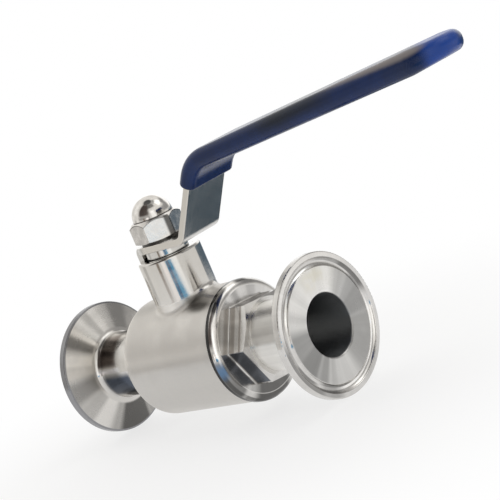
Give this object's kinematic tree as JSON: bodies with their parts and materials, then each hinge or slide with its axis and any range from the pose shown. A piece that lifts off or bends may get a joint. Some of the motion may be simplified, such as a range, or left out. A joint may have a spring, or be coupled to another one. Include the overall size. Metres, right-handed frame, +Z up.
{
  "type": "ball valve",
  "caption": "Quarter-turn ball valve with clamp ferrules at both ends, a screwed end cap and a cranked lever with a dipped grip.",
  "frame": {"origin": "centre of the ball, where the flow bore's axis meets the stem's axis", "axes": "+X along the flow bore towards the screwed end cap and the lever's end when open, +Z up the stem, +Y away from the side that shows the valve's near flank"},
  "size_m": [0.2061, 0.0506, 0.1058],
  "materials": {
    "body_steel": "satin stainless steel, tube and ferrule polished bright",
    "cap_steel": "turned and polished stainless steel",
    "gland_steel": "turned stainless steel",
    "lever_steel": "bright stamped stainless strip",
    "grip_vinyl": "glossy dipped vinyl",
    "washer_steel": "plain stainless steel",
    "nut_steel": "polished stainless steel",
    "ball_steel": "mirror-polished stainless steel",
    "seat_plastic": "white fluoropolymer",
    "gasket_plastic": "white fluoropolymer",
    "stem_steel": "turned stainless steel",
    "thrust_plastic": "filled fluoropolymer",
    "ring_rubber": "black rubber",
    "packing_plastic": "white fluoropolymer"
  },
  "bodies": {
    "housing": {"valve_body": "body_steel", "end_cap": "cap_steel", "rear_seat": "seat_plastic", "front_seat": "seat_plastic", "body_gasket": "gasket_plastic", "thrust_washer": "thrust_plastic", "bottom_packing_ring": "packing_plastic", "middle_packing_ring": "packing_plastic", "top_packing_ring": "packing_plastic"},
    "lever_and_ball": {"packing_gland": "gland_steel", "lever": "lever_steel", "lever_grip": "grip_vinyl", "lever_washer": "washer_steel", "acorn_nut": "nut_steel", "ball": "ball_steel", "stem": "stem_steel", "stem_o_ring": "ring_rubber"}
  },
  "joints": [
    {"name": "lever_turn", "type": "hinge", "parent": "housing", "child": "lever_and_ball", "pos_m": [0, 0, 0], "axis": [0, 0, 1], "range_deg": [-90, 0]}
  ]
}
